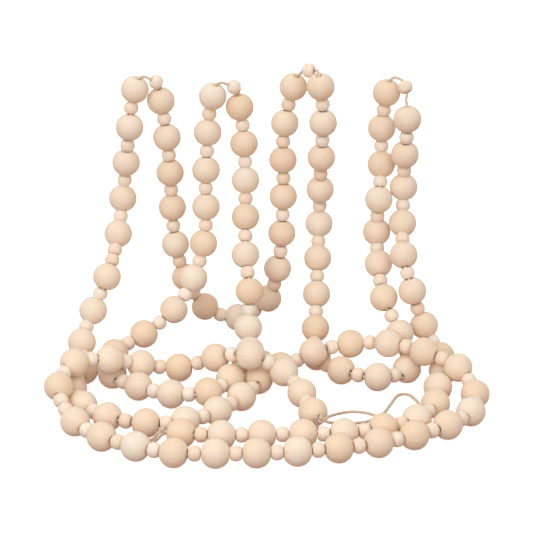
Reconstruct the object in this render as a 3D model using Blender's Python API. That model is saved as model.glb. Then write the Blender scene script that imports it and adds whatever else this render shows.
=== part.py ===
"""A garland of turned wood beads on jute twine, hung over four supports and pooled on a floor.

Metres, +Z up, +X across. The origin is the middle of the line that the four supports stand on, and
the floor that the rest of the garland lies on is HANG_HEIGHT below it.

The beads of each stretch are one solid with the beads' outline, because a garland has more beads
than a part has pieces. A stretch ends at the waist before the next large bead.
"""

from collections import namedtuple

import bpy
import numpy as np

MM = 0.001

LARGE_RADIUS = 10.0 * MM
LARGE_LENGTH = 18.3 * MM
SMALL_RADIUS = 5.0 * MM
SMALL_LENGTH = 8.7 * MM
WAIST_RADIUS = 2.6 * MM
HOLE_RADIUS = 1.6 * MM
TWINE_RADIUS = 1.0 * MM
KNOT_RADIUS = 2.6 * MM
GAP = 0.3 * MM
LEAD = 1.5 * MM
KNOT_WRAPS = 3
KNOT_SLANT = 2.5
KNOT_LUMP = 0.10
KNOT_WAIST = 0.94
HANG_HEIGHT = 196.0 * MM

WOOD_COLOUR, WOOD_ROUGHNESS = (0.86, 0.70, 0.53), 0.55
JUTE_COLOUR, JUTE_ROUGHNESS = (0.61, 0.46, 0.32), 0.9

# The rings that draw one bead: how far along its half length, and the share of its radius there.
LARGE_RINGS = ((-0.70, 0.77), (0.0, 1.0), (0.70, 0.77))
SMALL_RINGS = ((-0.50, 0.90), (0.50, 0.90))
STEPS_PER_SPAN = 24
CORD_STEP = 4.0 * MM

# A stretch is a piece of its own: its name, how many small beads follow the last of its large ones,
# and the places of large beads that the string passes on its way to the next stretch. A place is
# millimetres across, back and up from the floor under the middle of the supports, and then how
# many large beads on it is from the place before.
Stretch = namedtuple("Stretch", "name last_small places")

# From end A round the floor pool and up to the second support.
RING = (
    Stretch("ring_start", 1, ((24, -135, 14, 1), (12, -112, 19, 1), (-11, -111.5, 31.5, 1))),
    Stretch("ring_back_left", 1,
            ((-35.5, -95, 22, 1), (-61, -90, 12, 1), (-87, -95, 17, 1), (-108, -109, 27, 1))),
    Stretch("ring_left_turn", 2, ((-131, -120, 30, 1), (-140, -143, 23, 1), (-127, -172, 11, 1))),
    Stretch("front_left", 1,
            ((-108, -192, 10, 1), (-85, -206, 10, 1), (-60, -215, 10, 1), (-33, -216, 10, 1))),
    Stretch("front_middle", 1, ((20, -213, 10, 2), (73, -201, 10, 2))),
    Stretch("front_right", 1, ((97, -190, 10, 1), (120, -175, 10, 1), (137, -155, 10, 1))),
    Stretch("ring_right_turn", 1, ((142, -130, 11, 1), (132, -107, 20, 1), (109, -94, 26, 1))),
    Stretch("ring_back_right", 1,
            ((85, -82, 27, 1), (59, -74, 23, 1), (32.5, -84, 21, 1), (10, -83, 10, 1))),
    Stretch("ring_under", 1, ((-11.5, -90.5, 25, 1), (-25, -110.3, 13.5, 1), (-40, -131, 13, 1))),
    Stretch("inner_back", 1, ((-65, -128, 10, 1), (-88, -116, 10, 1), (-107, -97, 10, 1))),
    Stretch("rise_2_foot", 1, ((-107, -72, 15, 1), (-87, -55, 22, 1), (-66, -44, 36, 1))),
    Stretch("rise_2", 1, ((-52, -31, 55, 1), (-45, -22, 78, 1), (-43, -9, 129, 2), (-38, 0, 181, 2))),
)

# From the second support down, round the inside of the pool and up to the first.
INNER = (
    Stretch("drop_2", 1, ((-16, -1, 146, 1), (-15, -16, 96, 2), (-15, -31, 73, 1), (-12, -48, 52, 1))),
    Stretch("drop_2_foot", 1, ((-13, -54, 26.5, 1), (-12.5, -76.7, 10.2, 1), (-5.5, -105.5, 10, 1))),
    Stretch("inner_front", 1, ((-17, -132, 10, 1), (-33, -154, 10, 1), (-54, -169, 10, 1))),
    Stretch("inner_left", 1, ((-80, -172, 10, 1), (-106, -163, 10, 1), (-124, -145, 10, 1))),
    Stretch("inner_turn", 1, ((-133, -119, 10, 1), (-127, -92, 11, 1), (-130, -69, 22, 1))),
    Stretch("rise_1_foot", 2, ((-123, -50, 38, 1), (-113, -43, 61, 1), (-106, -18, 84, 1))),
    Stretch("rise_1", 1, ((-103, -5, 106, 1), (-97, -3, 159, 2), (-93, 3, 185, 1))),
)

# From the first support down into the hanging swag and up to the third.
SWAG = (
    Stretch("drop_1", 1, ((-71, 4, 149, 1), (-68, 3, 96, 2), (-66, -1, 69, 1), (-59, -3, 44, 1))),
    Stretch("swag_left", 1, ((-45, -4, 21, 1), (-21, -3, 12, 1))),
    Stretch("swag_right", 1, ((1, -3, 27, 1), (8, -6, 52, 1))),
    Stretch("rise_3", 1, ((12, -1, 106, 2), (13, 6, 159, 2), (19, 9, 185, 1))),
)

# From the third support down, over the floor and up to the fourth.
MIDDLE = (
    Stretch("drop_3", 1, ((40, -5, 163, 1), (39, -2, 136, 1), (38, 4, 83, 2))),
    Stretch("drop_3_foot", 1, ((37, -8, 61, 1), (36, -25, 40, 1), (35, -43, 21, 1), (35.5, -67, 10, 1))),
    Stretch("floor_swag", 1, ((52, -90, 10, 1), (77, -101, 10, 1), (98, -88, 10, 1))),
    Stretch("rise_4_foot", 1, ((94, -63, 26, 1), (83, -48, 47, 1), (80, -26, 64, 1))),
    Stretch("rise_4", 1,
            ((79, -12, 83, 1), (80, -14, 108.5, 1), (82, 0, 130, 1), (82, 4, 156, 1), (85, 5, 182, 1))),
)

# From the fourth support down the right side and along the second row to end B.
ROW = (
    Stretch("drop_4", 1, ((98, -10, 141, 1), (98, -6, 115, 1), (97, -18, 92, 1), (97, -39, 76, 1))),
    Stretch("drop_4_foot", 1, ((103, -50, 53, 1), (112, -51, 27, 1), (123, -66, 10, 1))),
    Stretch("row_right_turn", 1,
            ((123, -91, 10, 1), (117.5, -117, 10, 1), (114, -143, 10, 1), (100, -166, 10, 1))),
    Stretch("row_right", 1, ((77, -179, 10, 1), (51, -187, 10, 1), (24, -188, 10, 1))),
    Stretch("row_left", 1, ((-3, -189, 10, 1), (-56, -189, 11, 2))),
)

# A strand's first large bead, its stretches, and the places that the string comes from and goes on to,
# which tilt the two end beads.
STRANDS = (
    # first bead, stretches, comes from, goes on to
    ((31, -160, 12), RING, (40, -170, 11), (-35, -2, 191)),
    ((-19, 3, 172), INNER, (-22, 2, 183), (-88, 0, 195)),
    ((-75, 8, 175), SWAG, (-77, 7, 186), (22, 6, 195)),
    ((38, -6, 190), MIDDLE, (36, -9, 201), (87, 4, 193)),
    ((99, -12, 168), ROW, (98, -9, 181), (-68.5, -184, 10.5)),
)

# The twine over a support, between the large beads of two strands: its name, the strand it comes
# from and the one it goes to, the bare twine's places before its small bead, that bead's middle and
# the way its hole points, and the bare twine's places after it.
Link = namedtuple("Link", "name from_strand to_strand before bead hole after")
LINKS = (
    # name, from, to, places before, bead, its hole, places after
    Link("link_2", 0, 1, ((-32, -1, 191.3), (-29, 0, 190.4)), (-23, 1, 187.5), (0.9, 0.1, -0.4), ()),
    Link("link_1", 1, 2, ((-87, 3, 194.5), (-84, 3.5, 193.5)), (-78, 5, 190), (0.8, 0.3, -0.5), ()),
    Link("link_3", 2, 3, ((24, 5.5, 196),), (29.8, 2.2, 199.3), (1.0, -0.4, 0.1), ((35.6, -4.2, 201),)),
    Link("link_4", 3, 4, ((90, 4, 193.5), (93, 2, 193.5)), (97.5, -4, 189), (0.3, -0.5, -0.8),
         ((98, -9, 181),)),
)

# Where each knot is, and the twine loop that leaves it and comes back to it.
KNOT_A = (37.6, -170.5, 11.2)
TAIL_A = (
    (33.8, -171.8, 13.9), (32.4, -171.9, 13.8), (31.8, -171.8, 12.2), (32.2, -171.7, 10),
    (32.9, -171.7, 7.9), (33.6, -172, 6),
)
LOOP_A = (
    (40.4, -167.1, 11.5), (44.5, -158, 8.8), (50, -149.5, 6), (58.5, -142.4, 3.6), (65.5, -143, 3.4),
    (73, -147.5, 3.5), (82, -151, 1.4), (92, -151, 1.2), (101, -148, 1.2), (106, -138, 1.2),
    (104.5, -126, 1.2), (101, -115.8, 1.2), (98.8, -111.6, 1.2), (95, -109.8, 1.2), (91.2, -111.4, 1.2),
    (88.8, -115.6, 1.2), (85.2, -125, 1.2), (79, -140, 1.2), (70, -151, 1.2), (60, -155, 1.4),
    (49, -160, 4.4), (41.3, -169, 9),
)
KNOT_B = (-67.8, -185.3, 10.4)
LOOP_B = (
    (-70.4, -186.6, 7), (-73.2, -186.4, 3.9), (-77, -187, 1.6), (-86, -189, 1.2), (-97, -187, 1.2),
    (-108, -182, 1.2), (-116, -176, 1.2), (-120.9, -170.3, 1.2), (-121.7, -166.7, 1.2),
    (-119.8, -163.6, 1.2), (-116.2, -162.8, 1.2), (-113.1, -164.7, 1.2), (-112.3, -168.3, 1.2),
    (-110.5, -173.5, 1.2), (-104, -178, 1.2), (-95, -182, 1.2), (-86, -184.6, 1.4), (-76.5, -185.1, 3.8),
    (-73.4, -185.4, 6), (-71.6, -184.8, 8.9),
)


def place(spot):
    """A place of the tables, in metres from the origin."""
    return np.array(spot, float) * MM - (0, 0, HANG_HEIGHT)


def smooth_curve(places):
    """Points of a smooth curve through places, and the lengths along it of all and of places.

    Each span is a cubic whose slope at a place is that of the line between its two neighbours.
    """
    knots = np.array([place(spot) for spot in places])
    spans = np.linalg.norm(np.diff(knots, axis=0), axis=1)
    at = np.concatenate([[0.0], np.cumsum(spans)])
    slopes = np.gradient(knots, at, axis=0)
    share = np.arange(STEPS_PER_SPAN)[:, None] / STEPS_PER_SPAN
    pieces = []
    for i, span in enumerate(spans):
        start = (1 + 2 * share) * (1 - share) ** 2 * knots[i] + share * (1 - share) ** 2 * span * slopes[i]
        end = share**2 * (3 - 2 * share) * knots[i + 1] + share**2 * (share - 1) * span * slopes[i + 1]
        pieces.append(start + end)
    points = np.vstack(pieces + [knots[-1:]])
    along = np.concatenate([[0.0], np.cumsum(np.linalg.norm(np.diff(points, axis=0), axis=1))])
    return points, along, along[::STEPS_PER_SPAN]


def at_length(points, along, lengths):
    """The curve's points at the given lengths, straight on past its ends."""
    lengths = np.asarray(lengths, float)
    inside = np.stack([np.interp(lengths, along, points[:, k]) for k in range(3)], axis=1)
    before = np.minimum(lengths - along[0], 0)[:, None]
    after = np.maximum(lengths - along[-1], 0)[:, None]
    first = (points[1] - points[0]) / (along[1] - along[0])
    last = (points[-1] - points[-2]) / (along[-1] - along[-2])
    return inside + before * first + after * last


def string_beads(start, stretches, before, after):
    """The beads of one strand in order, as (stretch, is large, length along the curve), and the curve."""
    rows = [(stretch, row) for stretch in stretches for row in stretch.places]
    points, along, place_lengths = smooth_curve([before, start] + [row[:3] for _, row in rows] + [after])
    beads, begin = [], place_lengths[1]
    for (stretch, row), end in zip(rows, place_lengths[2:]):
        steps = row[3]
        small = stretch.last_small if row is stretch.places[-1] else 1
        pitch = (end - begin - (small - 1) * SMALL_LENGTH) / steps
        for k in range(steps):
            beads.append((stretch.name, True, begin + k * pitch))
            count = small if k == steps - 1 else 1
            middle = begin + k * pitch + (pitch + (count - 1) * SMALL_LENGTH) / 2
            for j in range(count):
                beads.append((stretch.name, False, middle + (j - (count - 1) / 2) * SMALL_LENGTH))
        begin = end
    beads.append((stretches[-1].name, True, begin))
    return beads, points, along


def bead_ends(beads, points, along):
    """Each bead's two hole ends, its middle on the curve and its hole along it, as an (n, 2, 3) array."""
    half = np.array([(LARGE_LENGTH if large else SMALL_LENGTH) / 2 for _, large, _ in beads])
    middle = np.array([length for _, _, length in beads])
    hole = at_length(points, along, middle + half) - at_length(points, along, middle - half)
    hole *= (half / np.linalg.norm(hole, axis=1))[:, None]
    spots = at_length(points, along, middle)
    return np.stack([spots - hole, spots + hole], axis=1)


def waists(ends):
    """The places half way from one bead's hole to the next, and the strand's two ends."""
    return np.vstack([ends[:1, 0], (ends[:-1, 1] + ends[1:, 0]) / 2, ends[-1:, 1]])


def bead_rings(start, end, large):
    """The points and radii that draw one bead between its two hole ends, without the ends."""
    radius = LARGE_RADIUS if large else SMALL_RADIUS
    middle, half = (start + end) / 2, (end - start) / 2
    rings = LARGE_RINGS if large else SMALL_RINGS
    return [(middle + along * half, share * radius) for along, share in rings]


def material(name, colour, roughness):
    shader = bpy.data.materials.new(name)
    shader.use_nodes = True
    bsdf = shader.node_tree.nodes["Principled BSDF"]
    bsdf.inputs["Base Color"].default_value = (*colour, 1.0)
    bsdf.inputs["Roughness"].default_value = roughness
    bsdf.inputs["Metallic"].default_value = 0.0
    return shader


def tube(name, rings, shader):
    """A tube through (point, radius) rings, with closed ends and 8 sides, as an object of its own."""
    curve = bpy.data.curves.new(name, "CURVE")
    curve.dimensions = "3D"
    curve.bevel_depth = 1.0
    curve.bevel_resolution = 2
    curve.use_fill_caps = True
    curve.twist_mode = "MINIMUM"
    spline = curve.splines.new("POLY")
    spline.points.add(len(rings) - 1)
    for point, (spot, radius) in zip(spline.points, rings):
        point.co = (*spot, 1.0)
        point.radius = radius
    curve.materials.append(shader)
    piece = bpy.data.objects.new(name, curve)
    COLLECTION.objects.link(piece)


def shorten(spot, towards, gap):
    """The point gap away from spot towards another."""
    way = towards - spot
    return spot + way / np.linalg.norm(way) * gap


def end_gap(necks, k):
    """How far a piece stays back from waist k, so that its flat end clears the next one's in a bend."""
    before, after = necks[k] - necks[max(k - 1, 0)], necks[min(k + 1, len(necks) - 1)] - necks[k]
    if not (before.any() and after.any()):
        return GAP / 2
    straight = np.dot(before, after) / np.linalg.norm(before) / np.linalg.norm(after)
    return GAP / 2 + WAIST_RADIUS * np.tan(np.arccos(min(straight, 1.0)) / 2)


def make_stretches(start, stretches, before, after, shader):
    """The beaded stretches of one strand, and its two ends, each a place and the way out of it."""
    beads, points, along = string_beads(start, stretches, before, after)
    ends = bead_ends(beads, points, along)
    necks = waists(ends)
    for stretch in stretches:
        mine = [k for k, (name, _, _) in enumerate(beads) if name == stretch.name]
        first, last = mine[0], mine[-1] + 1
        rings = [(shorten(necks[first], necks[first + 1], end_gap(necks, first)), WAIST_RADIUS)]
        for k in mine:
            rings += bead_rings(*ends[k], beads[k][1])
            rings.append((necks[k + 1], WAIST_RADIUS))
        rings[-1] = (shorten(necks[last], necks[last - 1], end_gap(necks, last)), WAIST_RADIUS)
        tube(stretch.name, rings, shader)
    return [(spot, (spot - inner) / np.linalg.norm(spot - inner))
            for spot, inner in ((necks[0], ends[0, 1]), (necks[-1], ends[-1, 0]))]


def make_link(link, start, end, shader):
    """The twine between two strand ends over a support, with its small bead in one with it."""
    before = [start[0] + start[1] * lead for lead in (GAP, LEAD)] + [place(spot) for spot in link.before]
    after = [place(spot) for spot in link.after] + [end[0] + end[1] * lead for lead in (LEAD, GAP)]
    bead = place(link.bead)
    half = np.array(link.hole) / np.linalg.norm(link.hole) * SMALL_LENGTH / 2
    rings = [(spot, TWINE_RADIUS) for spot in before]
    rings += [(bead - half, HOLE_RADIUS)] + bead_rings(bead - half, bead + half, False)
    rings.append((bead + half, HOLE_RADIUS))
    rings += [(spot, TWINE_RADIUS) for spot in after]
    tube(link.name, rings, shader)


def make_cord(name, places, shader):
    """A plain twine tube on a smooth curve through places."""
    points, along, _ = smooth_curve(places)
    steps = int(round(along[-1] / CORD_STEP))
    spots = at_length(points, along, np.linspace(0, along[-1], steps + 1))
    tube(name, [(spot, TWINE_RADIUS) for spot in spots], shader)


def make_knot(name, spot, shader):
    """An overhand knot's lumpy ball: a sphere whose points stand out along three wraps."""
    bpy.ops.mesh.primitive_uv_sphere_add(
        segments=14, ring_count=9, radius=KNOT_RADIUS, location=place(spot))
    knot = bpy.context.object
    knot.name = name
    for vertex in knot.data.vertices:
        x, y, z = vertex.co / KNOT_RADIUS
        wrap = KNOT_LUMP * np.cos(KNOT_WRAPS * np.arctan2(y, x) + KNOT_SLANT * z)
        vertex.co *= KNOT_WAIST + wrap * (1 - z * z)
    knot.data.shade_smooth()
    knot.data.materials.append(shader)
    for owner in knot.users_collection:
        owner.objects.unlink(knot)
    COLLECTION.objects.link(knot)


for old in list(bpy.data.objects):
    bpy.data.objects.remove(old, do_unlink=True)

COLLECTION = bpy.data.collections.new("wood_bead_garland")
bpy.context.scene.collection.children.link(COLLECTION)

WOOD = material("bead_wood", WOOD_COLOUR, WOOD_ROUGHNESS)
JUTE = material("jute_twine", JUTE_COLOUR, JUTE_ROUGHNESS)

ends = [make_stretches(*strand, WOOD) for strand in STRANDS]
for link in LINKS:
    make_link(link, ends[link.from_strand][1], ends[link.to_strand][0], JUTE)

make_knot("knot_a", KNOT_A, JUTE)
make_cord("tail_a", TAIL_A, JUTE)
make_cord("loop_a", LOOP_A, JUTE)
make_knot("knot_b", KNOT_B, JUTE)
make_cord("loop_b", LOOP_B, JUTE)
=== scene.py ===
# %% [markdown]
# # A wood bead garland
#
# The object is a long string of turned wood beads, large and small in turn, on jute twine. It hangs in
# four tall loops from supports that are out of view, and the rest lies in a pool in front of them. This
# lesson dresses the plain CAD model of it, piece by piece. Every piece is worked out as numbers first
# and becomes a Blender mesh in one step.

from collections import namedtuple

import bpy
import numpy as np
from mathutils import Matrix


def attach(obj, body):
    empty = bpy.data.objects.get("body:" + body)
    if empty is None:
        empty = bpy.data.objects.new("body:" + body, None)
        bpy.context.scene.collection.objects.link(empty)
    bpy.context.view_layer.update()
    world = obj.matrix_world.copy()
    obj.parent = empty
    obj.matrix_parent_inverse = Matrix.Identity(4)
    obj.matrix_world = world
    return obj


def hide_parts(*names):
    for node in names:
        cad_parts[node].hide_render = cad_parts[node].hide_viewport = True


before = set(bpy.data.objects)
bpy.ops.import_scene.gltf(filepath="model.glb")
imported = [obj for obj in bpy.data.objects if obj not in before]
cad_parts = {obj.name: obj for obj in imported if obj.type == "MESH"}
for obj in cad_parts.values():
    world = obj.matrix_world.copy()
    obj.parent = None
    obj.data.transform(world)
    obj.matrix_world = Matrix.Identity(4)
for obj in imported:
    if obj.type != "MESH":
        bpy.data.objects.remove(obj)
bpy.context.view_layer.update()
MM = 0.001
# The origin's height over the floor, in millimetres.
HANG_HEIGHT = 196.0

# %% [markdown]
# ## The camera
#
# The picture is taken from a good way off with a long lens, a little above the pool, so the rows of
# beads hardly shrink with distance. The camera stands 1.5 m in front and looks down by 22.5 degrees.
# The lens is worked out from how many pixels one unit of slope takes in the square frame.

# %% The camera
FRAME_PIXELS = 533
PIXELS_PER_SLOPE = 2200
LOOK_DOWN = 22.5
SENSOR_MM = 36.0
CAMERA_SPOT = (0.0, -1.480, 0.468)
SEES_TO = 20.0

camera = bpy.data.objects.new("camera", bpy.data.cameras.new("camera"))
bpy.context.scene.collection.objects.link(camera)
camera.data.sensor_width = SENSOR_MM
camera.data.lens = SENSOR_MM * PIXELS_PER_SLOPE / FRAME_PIXELS
camera.data.clip_end = SEES_TO
camera.location = CAMERA_SPOT
camera.rotation_euler = (np.radians(90 - LOOK_DOWN), 0.0, 0.0)
bpy.context.scene.camera = camera
print("lens", round(camera.data.lens, 1), "mm")

# %% [markdown]
# ## A smooth line through a few places
#
# Twine takes no sharp corners, so each string follows a smooth curve through a short list of places.
# Between two places the curve is a cubic, and its slope at a place is that of the line between the
# neighbours on both sides. Places are in millimetres from the floor under the middle of the supports,
# because whole numbers are easy to read and to change.

# %% Smooth curves
STEPS_PER_SPAN = 24


def place(spot):
    """Millimetres from the floor under the supports' middle, as metres from the origin."""
    return (np.array(spot, float) - (0, 0, HANG_HEIGHT)) * MM


def curve_through(knots):
    """Points of a smooth curve through knots, and the lengths along it of all points and of the knots.

    Each span is the cubic with the knots' places and slopes at its ends.
    """
    spans = np.linalg.norm(np.diff(knots, axis=0), axis=1)
    at = np.concatenate([[0.0], np.cumsum(spans)])
    slopes = np.gradient(knots, at, axis=0)[:, None]
    t = (np.arange(STEPS_PER_SPAN) / STEPS_PER_SPAN)[None, :, None]
    a, b, span = knots[:-1, None], knots[1:, None], spans[:, None, None]
    points = (1 + 2 * t) * (1 - t) ** 2 * a + t * (1 - t) ** 2 * span * slopes[:-1]
    points = points + t**2 * (3 - 2 * t) * b + t**2 * (t - 1) * span * slopes[1:]
    points = np.vstack([points.reshape(-1, 3), knots[-1:]])
    along = np.concatenate([[0.0], np.cumsum(np.linalg.norm(np.diff(points, axis=0), axis=1))])
    return points, along, along[::STEPS_PER_SPAN]


def at_length(points, along, lengths):
    """The curve's points at the given lengths, straight on past its ends."""
    inside = np.stack([np.interp(lengths, along, points[:, k]) for k in range(3)], axis=1)
    before = np.minimum(lengths, 0)[:, None]
    after = np.maximum(lengths - along[-1], 0)[:, None]
    first = (points[1] - points[0]) / along[1]
    last = (points[-1] - points[-2]) / (along[-1] - along[-2])
    return inside + before * first + after * last


def unit(vectors):
    """Each vector divided by its own length."""
    return vectors / np.linalg.norm(vectors, axis=-1, keepdims=True)


test_points, test_along, _ = curve_through(place(((0, 0, 0), (30, 0, 0), (60, 30, 0))))
print("a test curve of", len(test_points), "points is", round(test_along[-1], 4), "m long")

# %% [markdown]
# ## One mesh from a grid of points
#
# Nearly every surface here is a grid: rows along a path or round a profile, columns round an axis.
# Neighbouring rows and columns are joined by four-sided faces, and the whole grid goes into Blender as
# arrays, with no loop over its points.

# %% Grids into meshes
def grid_faces(rows, columns, closed_rows):
    """The four corners of each face of a grid that is closed round its columns, as an (n, 4) array."""
    r = np.arange(rows if closed_rows else rows - 1)[:, None]
    c = np.arange(columns)[None]
    r_next, c_next = (r + 1) % rows, (c + 1) % columns
    corners = [r * columns + c, r * columns + c_next, r_next * columns + c_next, r_next * columns + c]
    return np.stack(corners, axis=-1).reshape(-1, 4)


def mesh_object(name, vertices, face_sets, material):
    """A smooth-shaded object from vertices and arrays of faces, each with its own number of corners."""
    mesh = bpy.data.meshes.new(name)
    loops = np.concatenate([faces.ravel() for faces in face_sets]).astype(np.int32)
    sizes = np.concatenate([np.full(len(faces), faces.shape[1]) for faces in face_sets])
    starts = np.concatenate([[0], np.cumsum(sizes)[:-1]]).astype(np.int32)
    mesh.vertices.add(len(vertices))
    mesh.vertices.foreach_set("co", vertices.astype(np.float32).ravel())
    mesh.loops.add(len(loops))
    mesh.loops.foreach_set("vertex_index", loops)
    mesh.polygons.add(len(sizes))
    mesh.polygons.foreach_set("loop_start", starts)
    mesh.polygons.foreach_set("use_smooth", np.ones(len(sizes), bool))
    mesh.update(calc_edges=True)
    mesh.materials.append(material)
    piece = bpy.data.objects.new(name, mesh)
    bpy.context.scene.collection.objects.link(piece)
    return piece


def store(piece, name, vectors):
    """Keep one vector for each vertex on the mesh, for its material to read by name."""
    layer = piece.data.attributes.new(name, "FLOAT_VECTOR", "POINT")
    layer.data.foreach_set("vector", vectors.astype(np.float32).ravel())


print("a torus of 8 by 6 has", len(grid_faces(8, 6, True)), "faces")

# %% [markdown]
# ## Where the strings run
#
# The garland is one string, but its line is easier to read as five strands with a support between each
# two of them. A strand is a list of stretches, and each stretch is one solid of the CAD model. A row
# gives the place of a large bead and how many large beads on it is from the row before, so a straight
# run needs only a row every other bead. Two places on the string have two small beads side by side.

# %% What a stretch is
Stretch = namedtuple("Stretch", "name last_small places")

# %% The ring strand
# From end A round the floor pool and up to the second support.
RING = (
    Stretch("ring_start", 1, ((24, -135, 14, 1), (12, -112, 19, 1), (-11, -111.5, 31.5, 1))),
    Stretch("ring_back_left", 1,
            ((-35.5, -95, 22, 1), (-61, -90, 12, 1), (-87, -95, 17, 1), (-108, -109, 27, 1))),
    Stretch("ring_left_turn", 2, ((-131, -120, 30, 1), (-140, -143, 23, 1), (-127, -172, 11, 1))),
    Stretch("front_left", 1,
            ((-108, -192, 10, 1), (-85, -206, 10, 1), (-60, -215, 10, 1), (-33, -216, 10, 1))),
    Stretch("front_middle", 1, ((20, -213, 10, 2), (73, -201, 10, 2))),
    Stretch("front_right", 1, ((97, -190, 10, 1), (120, -175, 10, 1), (137, -155, 10, 1))),
    Stretch("ring_right_turn", 1, ((142, -130, 11, 1), (132, -107, 20, 1), (109, -94, 26, 1))),
    Stretch("ring_back_right", 1,
            ((85, -82, 27, 1), (59, -74, 23, 1), (32.5, -84, 21, 1), (10, -83, 10, 1))),
    Stretch("ring_under", 1, ((-11.5, -90.5, 25, 1), (-25, -110.3, 13.5, 1), (-40, -131, 13, 1))),
    Stretch("inner_back", 1, ((-65, -128, 10, 1), (-88, -116, 10, 1), (-107, -97, 10, 1))),
    Stretch("rise_2_foot", 1, ((-107, -72, 15, 1), (-87, -55, 22, 1), (-66, -44, 36, 1))),
    Stretch("rise_2", 1, ((-52, -31, 55, 1), (-45, -22, 78, 1), (-43, -9, 129, 2), (-38, 0, 181, 2))),
)
print("ring stretches:", len(RING))

# %% The inner strand
# From the second support down, round the inside of the pool and up to the first.
INNER = (
    Stretch("drop_2", 1, ((-16, -1, 146, 1), (-15, -16, 96, 2), (-15, -31, 73, 1), (-12, -48, 52, 1))),
    Stretch("drop_2_foot", 1, ((-13, -54, 26.5, 1), (-12.5, -76.7, 10.2, 1), (-5.5, -105.5, 10, 1))),
    Stretch("inner_front", 1, ((-17, -132, 10, 1), (-33, -154, 10, 1), (-54, -169, 10, 1))),
    Stretch("inner_left", 1, ((-80, -172, 10, 1), (-106, -163, 10, 1), (-124, -145, 10, 1))),
    Stretch("inner_turn", 1, ((-133, -119, 10, 1), (-127, -92, 11, 1), (-130, -69, 22, 1))),
    Stretch("rise_1_foot", 2, ((-123, -50, 38, 1), (-113, -43, 61, 1), (-106, -18, 84, 1))),
    Stretch("rise_1", 1, ((-103, -5, 106, 1), (-97, -3, 159, 2), (-93, 3, 185, 1))),
)
print("inner stretches:", len(INNER))

# %% The swag strand
# From the first support down into the hanging swag and up to the third.
SWAG = (
    Stretch("drop_1", 1, ((-71, 4, 149, 1), (-68, 3, 96, 2), (-66, -1, 69, 1), (-59, -3, 44, 1))),
    Stretch("swag_left", 1, ((-45, -4, 21, 1), (-21, -3, 12, 1))),
    Stretch("swag_right", 1, ((1, -3, 27, 1), (8, -6, 52, 1))),
    Stretch("rise_3", 1, ((12, -1, 106, 2), (13, 6, 159, 2), (19, 9, 185, 1))),
)
print("swag stretches:", len(SWAG))

# %% The middle strand
# From the third support down, over the floor and up to the fourth.
MIDDLE = (
    Stretch("drop_3", 1, ((40, -5, 163, 1), (39, -2, 136, 1), (38, 4, 83, 2))),
    Stretch("drop_3_foot", 1, ((37, -8, 61, 1), (36, -25, 40, 1), (35, -43, 21, 1), (35.5, -67, 10, 1))),
    Stretch("floor_swag", 1, ((52, -90, 10, 1), (77, -101, 10, 1), (98, -88, 10, 1))),
    Stretch("rise_4_foot", 1, ((94, -63, 26, 1), (83, -48, 47, 1), (80, -26, 64, 1))),
    Stretch("rise_4", 1,
            ((79, -12, 83, 1), (80, -14, 108.5, 1), (82, 0, 130, 1), (82, 4, 156, 1), (85, 5, 182, 1))),
)
print("middle stretches:", len(MIDDLE))

# %% The row strand
# From the fourth support down the right side and along the second row to end B.
ROW = (
    Stretch("drop_4", 1, ((98, -10, 141, 1), (98, -6, 115, 1), (97, -18, 92, 1), (97, -39, 76, 1))),
    Stretch("drop_4_foot", 1, ((103, -50, 53, 1), (112, -51, 27, 1), (123, -66, 10, 1))),
    Stretch("row_right_turn", 1,
            ((123, -91, 10, 1), (117.5, -117, 10, 1), (114, -143, 10, 1), (100, -166, 10, 1))),
    Stretch("row_right", 1, ((77, -179, 10, 1), (51, -187, 10, 1), (24, -188, 10, 1))),
    Stretch("row_left", 1, ((-3, -189, 10, 1), (-56, -189, 11, 2))),
)
print("row stretches:", len(ROW))

# %% The five strands
# A strand's first large bead, its stretches, and the places that the string comes from and goes on to,
# which tilt the two end beads.
STRANDS = (
    # first bead, stretches, comes from, goes on to
    ((31, -160, 12), RING, (40, -170, 11), (-35, -2, 191)),
    ((-19, 3, 172), INNER, (-22, 2, 183), (-88, 0, 195)),
    ((-75, 8, 175), SWAG, (-77, 7, 186), (22, 6, 195)),
    ((38, -6, 190), MIDDLE, (36, -9, 201), (87, 4, 193)),
    ((99, -12, 168), ROW, (98, -9, 181), (-68.5, -184, 10.5)),
)
print("stretches in all:", sum(len(strand[1]) for strand in STRANDS))

# %% [markdown]
# ## Over the supports, and the two ends
#
# Over each support the twine is bare, apart from one small bead. At end A it is knotted, with a frayed
# tail, and goes on as a closed loop to hang the garland by. At end B it is knotted too, and its loop
# goes out of sight behind the front row.

# %% The twine over the supports
Link = namedtuple("Link", "name from_strand to_strand before bead hole after")
LINKS = (
    # name, from, to, places before, bead, its hole, places after
    Link("link_2", 0, 1, ((-32, -1, 191.3), (-29, 0, 190.4)), (-23, 1, 187.5), (0.9, 0.1, -0.4), ()),
    Link("link_1", 1, 2, ((-87, 3, 194.5), (-84, 3.5, 193.5)), (-78, 5, 190), (0.8, 0.3, -0.5), ()),
    Link("link_3", 2, 3, ((24, 5.5, 196),), (29.8, 2.2, 199.3), (1.0, -0.4, 0.1), ((35.6, -4.2, 201),)),
    Link("link_4", 3, 4, ((90, 4, 193.5), (93, 2, 193.5)), (97.5, -4, 189), (0.3, -0.5, -0.8),
         ((98, -9, 181),)),
)
print("supports:", len(LINKS))

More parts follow.
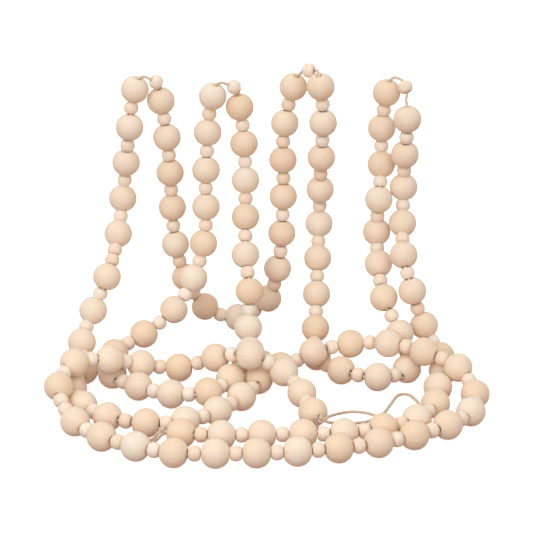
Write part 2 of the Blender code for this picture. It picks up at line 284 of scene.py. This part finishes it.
# %% The ends
# Where each knot is, and the twine loop that leaves it and comes back to it.
KNOT_A = (37.6, -170.5, 11.2)
TAIL_A = (
    (33.8, -171.8, 13.9), (32.4, -171.9, 13.8), (31.8, -171.8, 12.2), (32.2, -171.7, 10),
    (32.9, -171.7, 7.9), (33.6, -172, 6),
)
LOOP_A = (
    (40.4, -167.1, 11.5), (44.5, -158, 8.8), (50, -149.5, 6), (58.5, -142.4, 3.6), (65.5, -143, 3.4),
    (73, -147.5, 3.5), (82, -151, 1.4), (92, -151, 1.2), (101, -148, 1.2), (106, -138, 1.2),
    (104.5, -126, 1.2), (101, -115.8, 1.2), (98.8, -111.6, 1.2), (95, -109.8, 1.2), (91.2, -111.4, 1.2),
    (88.8, -115.6, 1.2), (85.2, -125, 1.2), (79, -140, 1.2), (70, -151, 1.2), (60, -155, 1.4),
    (49, -160, 4.4), (41.3, -169, 9),
)
KNOT_B = (-67.8, -185.3, 10.4)
LOOP_B = (
    (-70.4, -186.6, 7), (-73.2, -186.4, 3.9), (-77, -187, 1.6), (-86, -189, 1.2), (-97, -187, 1.2),
    (-108, -182, 1.2), (-116, -176, 1.2), (-120.9, -170.3, 1.2), (-121.7, -166.7, 1.2),
    (-119.8, -163.6, 1.2), (-116.2, -162.8, 1.2), (-113.1, -164.7, 1.2), (-112.3, -168.3, 1.2),
    (-110.5, -173.5, 1.2), (-104, -178, 1.2), (-95, -182, 1.2), (-86, -184.6, 1.4), (-76.5, -185.1, 3.8),
    (-73.4, -185.4, 6), (-71.6, -184.8, 8.9),
)
print("loop places:", len(LOOP_A), "and", len(LOOP_B))

# %% [markdown]
# ## Every bead's middle and hole
#
# A bead on a string can only slide and turn, so its middle is on the curve and its hole points along
# it. The large beads sit evenly between the rows of a table, and the small ones half way between them.

# %% The beads of a strand
SOLID_SMALL_LENGTH = 8.7 * MM
SOLID_LARGE_LENGTH = 18.3 * MM

Strand = namedtuple("Strand", "names large middles holes")


def lay_beads(start, stretches, before, after):
    """A strand's beads in order: each one's stretch, whether it is large, its middle and its hole."""
    rows = [(stretch, row) for stretch in stretches for row in stretch.places]
    knots = place([before, start] + [row[:3] for _, row in rows] + [after])
    points, along, place_lengths = curve_through(knots)
    names, large, at = [], [], []
    for (stretch, row), begin, end in zip(rows, place_lengths[1:-2], place_lengths[2:-1]):
        steps = row[3]
        last_small = stretch.last_small if row is stretch.places[-1] else 1
        pitch = (end - begin - (last_small - 1) * SOLID_SMALL_LENGTH) / steps
        for k in range(steps):
            small = last_small if k == steps - 1 else 1
            middle = begin + k * pitch + (pitch + (small - 1) * SOLID_SMALL_LENGTH) / 2
            names += [stretch.name] * (1 + small)
            large += [True] + [False] * small
            at.append(begin + k * pitch)
            at += [middle + (j - (small - 1) / 2) * SOLID_SMALL_LENGTH for j in range(small)]
    names = np.array(names + [stretches[-1].name])
    large = np.array(large + [True])
    at = np.array(at + [place_lengths[-2]])
    half = np.where(large, SOLID_LARGE_LENGTH, SOLID_SMALL_LENGTH) / 2
    holes = unit(at_length(points, along, at + half) - at_length(points, along, at - half))
    return Strand(names, large, at_length(points, along, at), holes)


strands = [lay_beads(*strand) for strand in STRANDS]
all_large = np.concatenate([strand.large for strand in strands])
print("large beads:", all_large.sum(), "small beads:", (~all_large).sum())

# %% [markdown]
# ## The wood
#
# The beads are bare, finely sanded softwood: pale cream with a peach cast, each one cut from its own
# piece, so some are warmer and some paler. Growth rings show as faint bands, and the fibres as fine
# streaks along the grain. A little light passes under the surface, which warms the shaded sides. Each
# bead carries its own grain direction on its points, as a vector in millimetres, so the pattern turns
# with the bead and never runs on from one bead to the next.

# %% Helpers for materials
def new_material(name, roughness):
    """A material with only its shader, and the node tree to add to."""
    material = bpy.data.materials.new(name)
    material.use_nodes = True
    shader = material.node_tree.nodes["Principled BSDF"]
    shader.inputs["Roughness"].default_value = roughness
    return material, material.node_tree, shader


def add_node(tree, kind, settings=(), **sockets):
    """A new node, with its settings and its sockets' values or links by name."""
    node = tree.nodes.new(kind)
    for key, value in dict(settings).items():
        setattr(node, key, value)
    for key, value in sockets.items():
        socket = node.inputs[key.replace("_", " ")]
        if isinstance(value, bpy.types.NodeSocket):
            tree.links.new(value, socket)
        else:
            socket.default_value = value
    return node


# The colour sockets of a mix node, by number because its other kinds of sockets have the same names.
MIX_FACTOR, MIX_A, MIX_B, MIX_RESULT = 0, 6, 7, 2


def shade(tree, colour, factor, darker):
    """The colour, multiplied by darker as far as the factor says: not at all at 0, fully at 1."""
    mix = add_node(tree, "ShaderNodeMix", {"data_type": "RGBA", "blend_type": "MULTIPLY"})
    tree.links.new(factor, mix.inputs[MIX_FACTOR])
    tree.links.new(colour, mix.inputs[MIX_A])
    mix.inputs[MIX_B].default_value = (*darker, 1.0)
    return mix.outputs[MIX_RESULT]


# %% The bead wood
WOOD_ROUGHNESS = 0.62
RING_SCALE = 0.11
RING_WAVER = 5.0
RING_SHADE = (0.985, 0.968, 0.948)
FIBRE_STRETCH = (3.2, 0.28, 3.2)
FIBRE_SHADE = (0.945, 0.920, 0.890)
FIBRE_BUMP = 0.03 * MM
CLOUD_SCALE = 0.13
CLOUD_SHADE = (0.990, 0.930, 0.860)
# Red light passes further under the surface than green, and green further than blue.
GLOW_SHARE = 0.45
GLOW_REACH = (1.0, 0.45, 0.20)
GLOW_SCALE = 3 * MM

wood, tree, shader = new_material("bead_wood", WOOD_ROUGHNESS)
grain = add_node(tree, "ShaderNodeAttribute", {"attribute_name": "grain"}).outputs["Vector"]
tint = add_node(tree, "ShaderNodeAttribute", {"attribute_name": "tint"}).outputs["Vector"]
rings = add_node(tree, "ShaderNodeTexWave", {"bands_direction": "X"}, Vector=grain, Scale=RING_SCALE,
                 Distortion=RING_WAVER, Detail=2.0, Detail_Scale=0.5).outputs["Fac"]
stretched = add_node(tree, "ShaderNodeVectorMath", {"operation": "MULTIPLY"})
tree.links.new(grain, stretched.inputs[0])
stretched.inputs[1].default_value = FIBRE_STRETCH
fibre_noise = add_node(tree, "ShaderNodeTexNoise", Vector=stretched.outputs[0], Scale=1.0, Detail=3.0)
fibres = fibre_noise.outputs["Fac"]
clouds = add_node(tree, "ShaderNodeTexNoise", Vector=grain, Scale=CLOUD_SCALE, Detail=1.0).outputs["Fac"]
colour = shade(tree, tint, rings, RING_SHADE)
colour = shade(tree, colour, fibres, FIBRE_SHADE)
colour = shade(tree, colour, clouds, CLOUD_SHADE)
bump = add_node(tree, "ShaderNodeBump", Strength=0.5, Distance=FIBRE_BUMP, Height=fibres)
tree.links.new(colour, shader.inputs["Base Color"])
tree.links.new(bump.outputs["Normal"], shader.inputs["Normal"])
shader.inputs["Subsurface Weight"].default_value = GLOW_SHARE
shader.inputs["Subsurface Radius"].default_value = GLOW_REACH
shader.inputs["Subsurface Scale"].default_value = GLOW_SCALE
print("wood nodes:", len(tree.nodes))

# %% [markdown]
# ## One turned bead
#
# A turned bead is a profile carried round its hole. The profile is a closed loop: over the round
# outside, down into the softened rim and back through the bore. A Subdivision Surface rounds a coarse
# cage of about a hundred faces, which keeps hundreds of beads light. The finished surface lies inside
# its cage, so the rings of the cage stand a little outside the bead, most of all at the rim.

# %% The bead cages
# The rings of the upper half, from the middle to the bore, each as its height and its radius.
LARGE_RINGS = ((2.23, 10.08), (6.20, 8.20), (8.85, 5.10), (9.35, 2.00), (7.20, 1.35))
SMALL_RINGS = ((1.50, 5.34), (3.95, 3.98), (4.45, 1.75), (3.00, 1.20))
LARGE_COLUMNS = 12
SMALL_COLUMNS = 10


def both_halves(half):
    """A whole profile from the rings of its upper half: the lower half is its mirror image."""
    return [(-height, radius) for height, radius in half[::-1]] + list(half)


def bead_cage(rings, columns):
    """The cage of one bead about +Z in metres, and its faces.

    A ring is its height and its radius in millimetres. Rounding leaves a ring's corner at two thirds of
    the cage's radius plus a third of its neighbours' reach that way, so the radius is divided by that.
    """
    height, radius = np.array(both_halves(rings)).T * MM
    turn = np.arange(columns) * 2 * np.pi / columns
    radius = radius / (2 / 3 + np.cos(turn[1]) / 3)
    x, y = radius[:, None] * np.cos(turn), radius[:, None] * np.sin(turn)
    z = np.broadcast_to(height[:, None], x.shape)
    return np.stack([x, y, z], axis=-1).reshape(-1, 3), grid_faces(len(height), columns, True)


large_cage = bead_cage(LARGE_RINGS, LARGE_COLUMNS)
small_cage = bead_cage(SMALL_RINGS, SMALL_COLUMNS)
print("faces in a cage: large", len(large_cage[1]), "small", len(small_cage[1]))

# %% [markdown]
# ## All the beads of a stretch
#
# Each bead is the same cage in its own place, turned so that its hole follows the string and spun by
# a random angle. One array product moves all beads of a kind at once, and each stretch of the CAD
# model is replaced by one mesh.

# %% Beads on the string
SEED = 1176
LARGE_TINT = np.array((0.915, 0.778, 0.642))
SMALL_TINT = np.array((0.935, 0.810, 0.710))
TINT_SPREAD = np.array((0.012, 0.033, 0.052))
FURTHEST_TINT = 1.8
# Each bead's grain starts somewhere in a block of wood that is this many millimetres across each way.
WOOD_BLOCK = 1800.0

random = np.random.default_rng(SEED)


def axes_with(holes):
    """For each hole a right-handed set of axes, as the columns of a matrix, spun by a random angle."""
    aside = unit(np.cross(holes, random.normal(size=holes.shape)))
    return np.stack([aside, np.cross(holes, aside), holes], axis=-1)


def copy_beads(cage, middles, holes, tint):
    """The points, faces, grain vectors and tints of one cage repeated at each middle."""
    shape, faces = cage
    count = len(middles)
    points = middles[:, None] + np.einsum("nij,mj->nmi", axes_with(holes), shape)
    grain_axes = axes_with(unit(random.normal(size=(count, 3))))
    own_piece = random.uniform(-WOOD_BLOCK / 2, WOOD_BLOCK / 2, size=(count, 1, 3))
    grains = np.einsum("nij,mj->nmi", grain_axes, shape / MM) + own_piece
    warmth = random.normal(size=(count, 1, 1)).clip(-FURTHEST_TINT, FURTHEST_TINT)
    tints = np.broadcast_to(tint - warmth * TINT_SPREAD, points.shape)
    all_faces = faces[None] + (np.arange(count) * len(shape))[:, None, None]
    return points.reshape(-1, 3), all_faces.reshape(-1, 4), grains.reshape(-1, 3), tints.reshape(-1, 3)


def bead_piece(name, large, middles, holes):
    """One object with these beads, both kinds in one mesh."""
    kinds = [(large_cage, large, LARGE_TINT), (small_cage, ~large, SMALL_TINT)]
    sets = [copy_beads(cage, middles[pick], holes[pick], tint)
            for cage, pick, tint in kinds if pick.any()]
    offsets = np.cumsum([0] + [len(points) for points, _, _, _ in sets])
    faces = np.vstack([faces + offset for (_, faces, _, _), offset in zip(sets, offsets)])
    piece = mesh_object(name, np.vstack([points for points, _, _, _ in sets]), [faces], wood)
    store(piece, "grain", np.vstack([grains for _, _, grains, _ in sets]))
    store(piece, "tint", np.vstack([tints for _, _, _, tints in sets]))
    rounding = piece.modifiers.new("rounding", "SUBSURF")
    rounding.levels = rounding.render_levels = 1
    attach(piece, "root")
    return piece


for strand, (_, stretches, _, _) in zip(strands, STRANDS):
    for stretch in stretches:
        mine = strand.names == stretch.name
        beads = strand.large[mine], strand.middles[mine], strand.holes[mine]
        piece = bead_piece("beads_" + stretch.name, *beads)
        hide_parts(stretch.name)
    print("stretches dressed:", ", ".join(stretch.name for stretch in stretches))

# %% [markdown]
# ## Over the supports
#
# The small bead over each support sits on bare twine, so the table gives its place and the way that its
# hole points by themselves. Most lean on the next large bead, with the twine coming in from the side.

# %% Beads over the supports
SIDES = (-1, 1)


def hole_ends(strand):
    """The two ends of every bead's hole, in the string's order, as an (n, 2, 3) array."""
    half = np.where(strand.large, SOLID_LARGE_LENGTH, SOLID_SMALL_LENGTH)[:, None, None] / 2
    return strand.middles[:, None] + np.array(SIDES)[None, :, None] * half * strand.holes[:, None]


ends = [hole_ends(strand) for strand in strands]
link_holes = []
for link in LINKS:
    bead = place(link.bead)
    hole = unit(np.array(link.hole))
    link_holes.append((bead - hole * SOLID_SMALL_LENGTH / 2, bead + hole * SOLID_SMALL_LENGTH / 2))
    piece = bead_piece("bead_over_support_" + link.name[-1], np.array([False]), bead[None], hole[None])
    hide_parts(link.name)
print("beads over supports:", len(link_holes))

# %% [markdown]
# ## The twine's fibre
#
# Jute is a dull, straw-coloured bast fibre. Two plies are twisted together, and the fibres show as
# fine lighter and darker lines that run with the twist. The lines follow a vector kept on the twine's
# own points: round it, and along it in millimetres.

# %% The jute
JUTE_COLOUR = (0.90, 0.725, 0.575)
JUTE_ROUGHNESS = 0.88
JUTE_SHADE = (0.58, 0.52, 0.46)
JUTE_BUMP = 0.08 * MM

jute, tree, shader = new_material("jute_twine", JUTE_ROUGHNESS)
lay = add_node(tree, "ShaderNodeAttribute", {"attribute_name": "lay"}).outputs["Vector"]
lines = add_node(tree, "ShaderNodeTexNoise", Vector=lay, Scale=1.0, Detail=3.0).outputs["Fac"]
base = add_node(tree, "ShaderNodeRGB")
base.outputs[0].default_value = (*JUTE_COLOUR, 1.0)
colour = shade(tree, base.outputs[0], lines, JUTE_SHADE)
bump = add_node(tree, "ShaderNodeBump", Strength=0.6, Distance=JUTE_BUMP, Height=lines)
tree.links.new(colour, shader.inputs["Base Color"])
tree.links.new(bump.outputs["Normal"], shader.inputs["Normal"])
print("jute nodes:", len(tree.nodes))

# %% [markdown]
# ## Twisted twine
#
# Two-ply twine has an outline with two lobes, and the lobes turn as they go along it. So the surface
# is a tube whose radius at an angle is full on a lobe and smaller in the groove between two lobes, and
# the lobes' angle grows with the length. Loose fibres stand off it as thin, curved, three-sided tubes.

# %% Twine and loose fibres
# A direction that no twine here runs along, so that it gives a way across each of them.
SLANT = np.array((0.31, 0.82, 0.48))
# The twine's size, and how far its two lobes reach, which is a little more.
TWINE_RADIUS = 1.15 * MM
TWIST_LENGTH = 4.2 * MM
GROOVE = 0.75
LAY_ROUND = 2.5
LAY_ALONG = 0.35
FIBRE_COLUMNS = 3
FIBRE_ROWS = 5
# Where fibres leave the twine, as shares of its length, and the frayed share of an open end.
FIBRES_FROM, FIBRES_TO = 0.04, 0.96
FRAYED_END = 0.35
# How deep in the twine a fibre starts, as a share of its radius.
FIBRE_ROOT = 0.7
# A fibre's rise, its random curl and the shortest one, as shares of its length, and how much it thins.
FIBRE_RISE = 0.7
FIBRE_CURL = 0.25
SHORTEST_FIBRE = 0.35
FIBRE_TAPER = 0.7
LOWEST_FIBRE = -HANG_HEIGHT * MM


def even_path(places_m, step):
    """The smooth curve through places in metres, as points that are a step apart."""
    points, along, _ = curve_through(places_m)
    return at_length(points, along, np.linspace(0, along[-1], int(round(along[-1] / step)) + 1))


def across(way):
    """Two ways across each way, at right angles to it and to each other."""
    aside = unit(np.cross(way, SLANT))
    return aside, np.cross(way, aside)


def length_along(path):
    """The length from the start to each point of a path."""
    return np.concatenate([[0.0], np.cumsum(np.linalg.norm(np.diff(path, axis=0), axis=1))])


def twisted_tube(path, radius, columns, ring=False):
    """Points, faces and lay vectors of two-ply twine along a path, with closed ends or as a ring."""
    rows = len(path)
    way = np.roll(path, -1, axis=0) - np.roll(path, 1, axis=0) if ring else np.gradient(path, axis=0)
    aside, other = across(unit(way))
    turn = np.arange(columns) * 2 * np.pi / columns
    along = length_along(np.vstack([path, path[:1]]) if ring else path)
    twists = max(1, round(along[-1] / TWIST_LENGTH))
    phase = turn[None] - (along[:rows] / along[-1] * twists * 2 * np.pi)[:, None]
    reach = np.broadcast_to(radius, rows)[:, None] * (GROOVE + (1 - GROOVE) * np.abs(np.cos(phase)))
    points = path[:, None] + reach[..., None] * (
        aside[:, None] * np.cos(turn)[:, None] + other[:, None] * np.sin(turn)[:, None])
    run = np.broadcast_to(along[:rows, None] / MM * LAY_ALONG, phase.shape)
    lay = np.stack([LAY_ROUND * np.cos(phase), LAY_ROUND * np.sin(phase), run], axis=-1)
    faces = [grid_faces(rows, columns, ring)]
    if not ring:
        faces.append(np.stack([np.arange(columns)[::-1], np.arange(columns) + (rows - 1) * columns]))
    return points.reshape(-1, 3), faces, lay.reshape(-1, 3)


def loose_fibres(path, count, longest, thickness, spread=1.0, near_end=False):
    """Points and faces of fibres that leave a path at random places and bend along it."""
    along = length_along(path)
    at = random.uniform(FIBRES_FROM, FIBRES_TO, count) * along[-1]
    if near_end:
        at = along[-1] * (1 - FRAYED_END * random.uniform(0, 1, count) ** 2)
    pick = np.searchsorted(along, at).clip(1, len(path) - 1)
    root, way = path[pick], unit(path[pick] - path[pick - 1])
    aside, other = across(way)
    angle = random.uniform(0, 2 * np.pi, count)[:, None]
    out = aside * np.cos(angle) + other * np.sin(angle)
    lean = way * random.choice(SIDES, count)[:, None] if not near_end else way
    reach = longest * random.uniform(SHORTEST_FIBRE, 1.0, count)[:, None, None]
    t = np.linspace(0, 1, FIBRE_ROWS)[None, :, None]
    curl = random.normal(size=(count, 1, 3)) * FIBRE_CURL
    start = root + out * TWINE_RADIUS * FIBRE_ROOT
    rise = out[:, None] * spread * t**1.5 * FIBRE_RISE
    line = start[:, None] + reach * (lean[:, None] * t + rise + curl * t**2)
    turn = np.arange(FIBRE_COLUMNS) * 2 * np.pi / FIBRE_COLUMNS
    ring = aside[:, None, None] * np.cos(turn)[:, None] + other[:, None, None] * np.sin(turn)[:, None]
    thin = thickness * (1 - FIBRE_TAPER * t)[..., None]
    points = line[:, :, None] + ring * thin
    points[..., 2] = points[..., 2].clip(LOWEST_FIBRE)
    per = FIBRE_ROWS * FIBRE_COLUMNS
    first = (np.arange(count) * per)[:, None, None]
    sides = (grid_faces(FIBRE_ROWS, FIBRE_COLUMNS, False)[None] + first).reshape(-1, 4)
    tips = np.stack([np.arange(FIBRE_COLUMNS)[::-1], np.arange(FIBRE_COLUMNS) + per - FIBRE_COLUMNS])
    return points.reshape(-1, 3), [sides, (tips[None] + first).reshape(-1, FIBRE_COLUMNS)]


def twine_piece(name, tubes, fibres=()):
    """One jute object made of twisted tubes and sets of loose fibres."""
    points, faces, lays, count = [], [], [], 0
    for tube_points, tube_faces, tube_lay in tubes:
        points.append(tube_points)
        faces += [part + count for part in tube_faces]
        lays.append(tube_lay)
        count += len(tube_points)
    for fibre_points, fibre_faces in fibres:
        points.append(fibre_points)
        faces += [part + count for part in fibre_faces]
        lays.append(fibre_points / MM)
        count += len(fibre_points)
    piece = mesh_object(name, np.vstack(points), faces, jute)
    store(piece, "lay", np.vstack(lays))
    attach(piece, "root")
    return piece


# %% [markdown]
# ## The two hanging loops
#
# Past each knot the twine goes on as a closed loop, to hang the garland by. Both lie on the floor. The
# one at end A crosses itself once, and its far end turns back near the right side of the ring. The loop
# at end B lies out of sight behind the front row. Each is drawn from its knot's middle round and back.

# %% The loops
LOOP_STEP = 0.4 * MM
LOOP_COLUMNS = 12
LOOPS = (
    # piece, its solid, the knot that it starts and ends in, its places
    ("twine_loop_a", "loop_a", KNOT_A, LOOP_A),
    ("twine_loop_b", "loop_b", KNOT_B, LOOP_B),
)
# How many loose fibres, how long the longest is, and how thick they are.
LOOP_FUZZ = (90, 1.8 * MM, 0.045 * MM)

for name, node, knot, loop in LOOPS:
    path = even_path(place((knot,) + loop + (knot,)), LOOP_STEP)
    fuzz = loose_fibres(path, *LOOP_FUZZ)
    piece = twine_piece(name, [twisted_tube(path, TWINE_RADIUS, LOOP_COLUMNS)], [fuzz])
    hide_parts(node)

# %% [markdown]
# ## The twine through the beads
#
# One length of twine runs from knot to knot: through every bead's hole, and bare over the supports. It
# is hardly seen between the beads, but it fills the gaps as the real one does. Its route is the list
# of all hole ends, with the places over the supports between two strands. Where two holes don't meet
# end to end, the line steps back or aside and then swings inside the beads, out of sight. So its path
# is longer than the real twine, and parts of it run in the wood.

# %% The long twine
RUN_STEP = 0.65 * MM
RUN_COLUMNS = 8
CLOSEST_PLACES = 0.6 * MM
SUPPORT_FUZZ = (24, 1.8 * MM, 0.045 * MM)


def line_over(link):
    """The twine's line over one support, through the middle of its bead."""
    return even_path(place(link.before + (link.bead,) + link.after), LOOP_STEP)


route = [place(KNOT_A)[None], ends[0].reshape(-1, 3)]
for link, holes in sorted(zip(LINKS, link_holes), key=lambda pair: pair[0].from_strand):
    route += [place(link.before), np.array(holes)]
    if link.after:
        route.append(place(link.after))
    route.append(ends[link.to_strand].reshape(-1, 3))
route = np.vstack(route + [place(KNOT_B)[None]])
apart = np.linalg.norm(np.diff(route, axis=0), axis=1)
route = route[np.concatenate([[True], apart > CLOSEST_PLACES])]
path = even_path(route, RUN_STEP)
over = [loose_fibres(line_over(link), *SUPPORT_FUZZ) for link in LINKS]
piece = twine_piece("twine_run", [twisted_tube(path, TWINE_RADIUS, RUN_COLUMNS)], over)
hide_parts(*[link.name for link in LINKS])
run_length = round(length_along(path)[-1], 3)
print("the long twine's path:", run_length, "m,", len(piece.data.polygons), "faces")

# %% [markdown]
# ## The knots and the frayed tail
#
# An overhand knot is a trefoil: the twine goes round a ring while it passes over and under itself. The
# formula for it is x = sin t + 2 sin 2t, y = cos t - 2 cos 2t, z = -1.3 sin 3t. It is pulled tight, so
# the turns lie on each other, and it leans against the last bead and covers its hole. The tail is a
# short end of the same twine whose plies open into loose fibre.

# %% The knots and the tail
KNOT_SCALE = 0.77 * MM
KNOT_TWINE = 1.38 * MM
KNOT_POINTS = 72
KNOT_DEPTH = 1.3
KNOT_COLUMNS = 10
KNOTS = (
    # piece, its solid, middle, how far it is pulled against the last bead, turn about +Z
    ("knot_end_a", "knot_a", KNOT_A, (-1.1, 0.8, 0.6), 0.5),
    ("knot_end_b", "knot_b", KNOT_B, (0, 0, 0), 0.1),
)
KNOT_FUZZ = (40, 1.6 * MM, 0.05 * MM)
PLY_RADIUS = 0.75 * MM
PLY_SPREAD = (0.35 * MM, 1.10 * MM)
PLY_COLUMNS = 10
TAIL_STEP = 0.3 * MM
TAIL_FRAY = (90, 3.6 * MM, 0.10 * MM)
TAIL_FRAY_SPREAD = 0.55
TAIL_FUZZ = (50, 1.8 * MM, 0.06 * MM)


def overhand(middle, turn):
    """The trefoil's closed line as points, round a middle, turned about +Z by an angle."""
    t = np.arange(KNOT_POINTS) * 2 * np.pi / KNOT_POINTS
    x = np.sin(t) + 2 * np.sin(2 * t)
    y = np.cos(t) - 2 * np.cos(2 * t)
    z = -KNOT_DEPTH * np.sin(3 * t)
    turned_x = x * np.cos(turn) - z * np.sin(turn)
    turned_y = x * np.sin(turn) + z * np.cos(turn)
    return middle + np.stack([turned_x, turned_y, -y], axis=1) * KNOT_SCALE


for name, node, spot, against_bead, turn in KNOTS:
    path = overhand(place(spot) + np.array(against_bead) * MM, turn)
    fuzz = loose_fibres(path, *KNOT_FUZZ)
    piece = twine_piece(name, [twisted_tube(path, KNOT_TWINE, KNOT_COLUMNS, True)], [fuzz])
    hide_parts(node)

path = even_path(place(TAIL_A), TAIL_STEP)
opening = np.linspace(PLY_SPREAD[0], PLY_SPREAD[1], len(path))[:, None]
aside = across(unit(np.gradient(path, axis=0)))[0]
plies = [twisted_tube(path + side * opening * aside, PLY_RADIUS, PLY_COLUMNS) for side in SIDES]
fray = loose_fibres(path, *TAIL_FRAY, spread=TAIL_FRAY_SPREAD, near_end=True)
fuzz = loose_fibres(path, *TAIL_FUZZ)
piece = twine_piece("tail_end_a", plies, [fray, fuzz])
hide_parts("tail_a")
print("tail:", round(length_along(path)[-1] / MM, 1), "mm")

# %% [markdown]
# ## The floor and the light
#
# The photograph is lit by large soft lights from above and the front, on a background that is all
# white. The floor glows a little, so it is as white as that, and the beads' own light skips it, so it
# doesn't brighten them from below. The world is bright all round and dark and warm from below, which
# shades the undersides. One big soft light stands to the left of the camera and above it.

# %% The floor
FLOOR_HALF = 12.0
FLOOR_GAP = 0.15
FLOOR_HEIGHT = -(HANG_HEIGHT + FLOOR_GAP) * MM
FLOOR_ROUGHNESS = 0.9
FLOOR_GREY = 0.80
FLOOR_GLOW = 0.78

floor_material, tree, shader = new_material("floor_pale", FLOOR_ROUGHNESS)
shader.inputs["Base Color"].default_value = (FLOOR_GREY, FLOOR_GREY, FLOOR_GREY, 1.0)
shader.inputs["Emission Color"].default_value = (1.0, 1.0, 1.0, 1.0)
shader.inputs["Emission Strength"].default_value = FLOOR_GLOW
corners = np.array([(-1, -1, 0), (1, -1, 0), (1, 1, 0), (-1, 1, 0)]) * FLOOR_HALF + (0, 0, FLOOR_HEIGHT)
floor = mesh_object("floor", corners, [np.array([[0, 1, 2, 3]])], floor_material)
floor.visible_diffuse = False

# %% The lights
SKY_COLOUR = (1.0, 0.985, 0.970)
BELOW_COLOUR = (0.30, 0.10, 0.025)
SKY_FROM, SKY_TO = -0.40, 0.32
SKY_STRENGTH = 0.78
KEY_COLOUR = (0.87, 0.955, 1.0)
KEY_SPOT = (-0.45, -1.40, 0.95)
KEY_TARGET = (0, -0.1, -0.1)
KEY_SIZE = 1.4
KEY_POWER = 15.8

world = bpy.data.worlds.new("studio")
bpy.context.scene.world = world
world.use_nodes = True
tree = world.node_tree
way = add_node(tree, "ShaderNodeTexCoord").outputs["Generated"]
height = add_node(tree, "ShaderNodeSeparateXYZ", Vector=way).outputs["Z"]
share = add_node(tree, "ShaderNodeMapRange", {"interpolation_type": "SMOOTHSTEP"},
                 Value=height, From_Min=SKY_FROM, From_Max=SKY_TO).outputs["Result"]
mix = add_node(tree, "ShaderNodeMix", {"data_type": "RGBA"})
tree.links.new(share, mix.inputs[MIX_FACTOR])
mix.inputs[MIX_A].default_value = (*BELOW_COLOUR, 1.0)
mix.inputs[MIX_B].default_value = (*SKY_COLOUR, 1.0)
tree.links.new(mix.outputs[MIX_RESULT], tree.nodes["Background"].inputs["Color"])
tree.nodes["Background"].inputs["Strength"].default_value = SKY_STRENGTH


def soft_light(name, colour, spot, target, size, power):
    """A square area light at a spot, turned to face a target."""
    light = bpy.data.objects.new(name, bpy.data.lights.new(name, "AREA"))
    light.data.size = size
    light.data.energy = power
    light.data.color = colour
    light.location = spot
    way = np.array(target, float) - spot
    light.rotation_euler = (np.arccos(-way[2] / np.linalg.norm(way)), 0.0, np.arctan2(-way[0], way[1]))
    bpy.context.scene.collection.objects.link(light)


soft_light("key", KEY_COLOUR, KEY_SPOT, KEY_TARGET, KEY_SIZE, KEY_POWER)
bpy.context.scene.view_settings.view_transform = "Standard"
print("lights ready")
